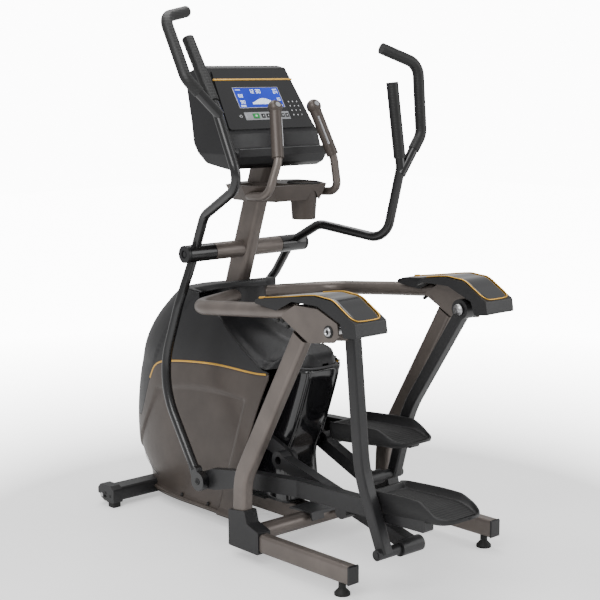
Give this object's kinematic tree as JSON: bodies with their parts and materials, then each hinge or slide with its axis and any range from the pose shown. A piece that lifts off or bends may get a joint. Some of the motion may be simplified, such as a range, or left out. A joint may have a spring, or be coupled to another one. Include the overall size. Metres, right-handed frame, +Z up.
{
  "type": "elliptical trainer",
  "caption": "Standing cross trainer: flywheel casing, leaning mast with console, swinging handlebars, and suspended pedals between two side frames.",
  "frame": {"origin": "middle of the trainer's outline on the floor", "axes": "+X to the user's right, +Y the way the user faces, towards the casing's nose, +Z up"},
  "size_m": [0.8162, 1.8224, 1.784],
  "materials": {
    "frame_bronze": "satin metallic bronze powder coat",
    "frame_black": "fine textured black powder coat",
    "cover_black": "satin moulded black plastic",
    "cover_bronze": "metallic bronze moulded plastic",
    "gloss_black": "glossy black plastic",
    "rubber_black": "black rubber",
    "grip_rubber": "soft moulded grip",
    "wheel_plastic": "urethane wheel",
    "steel": "machined steel",
    "chrome": "bright plated steel",
    "cast_iron": "machined cast iron",
    "belt_rubber": "ribbed belt",
    "lcd": "lit blue display",
    "key_silver": "silver key overlay",
    "key_green": "green key",
    "tray_bronze": "metallic bronze moulded plastic",
    "grey_plastic": "grey moulded plastic"
  },
  "bodies": {
    "frame": {"base_spine": "frame_bronze", "boots": "cover_black", "brake_magnet": "cover_black", "console_face": "gloss_black", "console_housing": "cover_black", "crank_bearings": "steel", "cup_holder": "tray_bronze", "display": "lcd", "drive_belt": "belt_rubber", "drive_frame": "frame_black", "floor_cover": "grey_plastic", "flywheel_axle": "steel", "front_end_caps": "cover_black", "front_feet": "rubber_black", "front_stabilizer": "frame_black", "key_bar": "key_silver", "keypad": "gloss_black", "mast": "frame_bronze", "pivot_axle": "steel", "pivot_caps": "cover_black", "power_inlet": "cover_black", "pulse_bars": "frame_bronze", "pulse_grips": "tray_bronze", "reading_rack": "cover_black", "rear_cross_tube": "frame_bronze", "rear_feet": "rubber_black", "rear_shroud": "gloss_black", "shoulder_axles": "chrome", "shoulder_brackets": "frame_bronze", "shoulder_covers": "cover_black", "shoulder_pads": "gloss_black", "side_covers": "cover_bronze", "side_frame_plugs": "cover_black", "side_frames": "frame_bronze", "tray": "tray_bronze", "upper_frame_tube": "frame_bronze", "upper_shroud": "cover_black", "wheel_axles": "steel"},
    "left_handlebar": {"handlebar_left": "frame_black", "straight_grip_left": "grip_rubber", "loop_grip_left": "grip_rubber"},
    "right_handlebar": {"handlebar_right": "frame_black", "straight_grip_right": "grip_rubber", "loop_grip_right": "grip_rubber"},
    "left_pedal_beam": {"pedal_beam_left": "frame_black", "pedal_left": "cover_black"},
    "right_pedal_beam": {"pedal_beam_right": "frame_black", "pedal_right": "cover_black"},
    "left_swing_arm": {"swing_arm_left": "frame_black"},
    "right_swing_arm": {"swing_arm_right": "frame_black"},
    "left_link": {"support_link_left": "frame_black"},
    "right_link": {"support_link_right": "frame_black"},
    "crank_set": {"crank": "frame_black", "crank_pulley": "cast_iron"},
    "flywheel_rotor": {"flywheel": "cast_iron"},
    "left_transport_wheel": {"transport_wheel_left": "wheel_plastic"},
    "right_transport_wheel": {"transport_wheel_right": "wheel_plastic"},
    "left_thumb_button": {"thumb_button_left": "key_silver"},
    "right_thumb_button": {"thumb_button_right": "key_silver"},
    "start_stop_key": {"start_key": "key_green"}
  },
  "joints": [
    {"name": "crank_turn", "type": "hinge", "parent": "frame", "child": "crank_set", "pos_m": [0, 0.2159, 0.357], "axis": [-1, 0, 0], "range_deg": [0, 180]},
    {"name": "left_handlebar_swing", "type": "hinge", "parent": "frame", "child": "left_handlebar", "pos_m": [0, 0.3453, 0.958], "axis": [1, 0, 0], "range_deg": [0, 33.29]},
    {"name": "left_beam_hinge", "type": "hinge", "parent": "left_handlebar", "child": "left_pedal_beam", "pos_m": [0, 0.25579, 0.18909], "axis": [1, 0, 0], "range_deg": [-34.46, 0]},
    {"name": "left_swing_arm_swing", "type": "hinge", "parent": "frame", "child": "left_swing_arm", "pos_m": [0, -0.4447, 0.81], "axis": [1, 0, 0], "range_deg": [0, 38.61]},
    {"name": "left_link_hinge", "type": "hinge", "parent": "left_swing_arm", "child": "left_link", "pos_m": [0, -0.58707, 0.13904], "axis": [1, 0, 0], "range_deg": [-30.28, 0]},
    {"name": "right_handlebar_swing", "type": "hinge", "parent": "frame", "child": "right_handlebar", "pos_m": [0, 0.3453, 0.958], "axis": [1, 0, 0], "range_deg": [-33.29, 0]},
    {"name": "right_beam_hinge", "type": "hinge", "parent": "right_handlebar", "child": "right_pedal_beam", "pos_m": [0, 0.69251, 0.26614], "axis": [1, 0, 0], "range_deg": [0, 34.46]},
    {"name": "right_swing_arm_swing", "type": "hinge", "parent": "frame", "child": "right_swing_arm", "pos_m": [0, -0.4447, 0.81], "axis": [1, 0, 0], "range_deg": [-38.61, 0]},
    {"name": "right_link_hinge", "type": "hinge", "parent": "right_swing_arm", "child": "right_link", "pos_m": [0, -0.13726, 0.19686], "axis": [1, 0, 0], "range_deg": [0, 30.28]},
    {"name": "flywheel_spin", "type": "hinge", "parent": "frame", "child": "flywheel_rotor", "pos_m": [0, 0.4053, 0.3], "axis": [-1, 0, 0], "range_deg": [0, 900]},
    {"name": "left_wheel_spin", "type": "hinge", "parent": "frame", "child": "left_transport_wheel", "pos_m": [-0.316, 0.7653, 0.038], "axis": [1, 0, 0], "continuous": true},
    {"name": "right_wheel_spin", "type": "hinge", "parent": "frame", "child": "right_transport_wheel", "pos_m": [0.316, 0.7653, 0.038], "axis": [1, 0, 0], "continuous": true},
    {"name": "left_thumb_press", "type": "slide", "parent": "frame", "child": "left_thumb_button", "axis": [0, 0.8, -0.6], "range_m": [0, 0.0015], "stiffness_N_per_m": 400},
    {"name": "right_thumb_press", "type": "slide", "parent": "frame", "child": "right_thumb_button", "axis": [0, 0.8, -0.6], "range_m": [0, 0.0015], "stiffness_N_per_m": 400},
    {"name": "start_key_press", "type": "slide", "parent": "frame", "child": "start_stop_key", "axis": [0, 0.8456, -0.5338], "range_m": [0, 0.001], "stiffness_N_per_m": 400}
  ],
  "couplings": [
    {"joint": "left_handlebar_swing", "follows": "crank_turn", "ratio": 0.18494},
    {"joint": "left_beam_hinge", "follows": "crank_turn", "ratio": -0.19145},
    {"joint": "left_swing_arm_swing", "follows": "crank_turn", "ratio": 0.2145},
    {"joint": "left_link_hinge", "follows": "crank_turn", "ratio": -0.16821},
    {"joint": "right_handlebar_swing", "follows": "crank_turn", "ratio": -0.18494},
    {"joint": "right_beam_hinge", "follows": "crank_turn", "ratio": 0.19145},
    {"joint": "right_swing_arm_swing", "follows": "crank_turn", "ratio": -0.2145},
    {"joint": "right_link_hinge", "follows": "crank_turn", "ratio": 0.16821},
    {"joint": "flywheel_spin", "follows": "crank_turn", "ratio": 5}
  ]
}
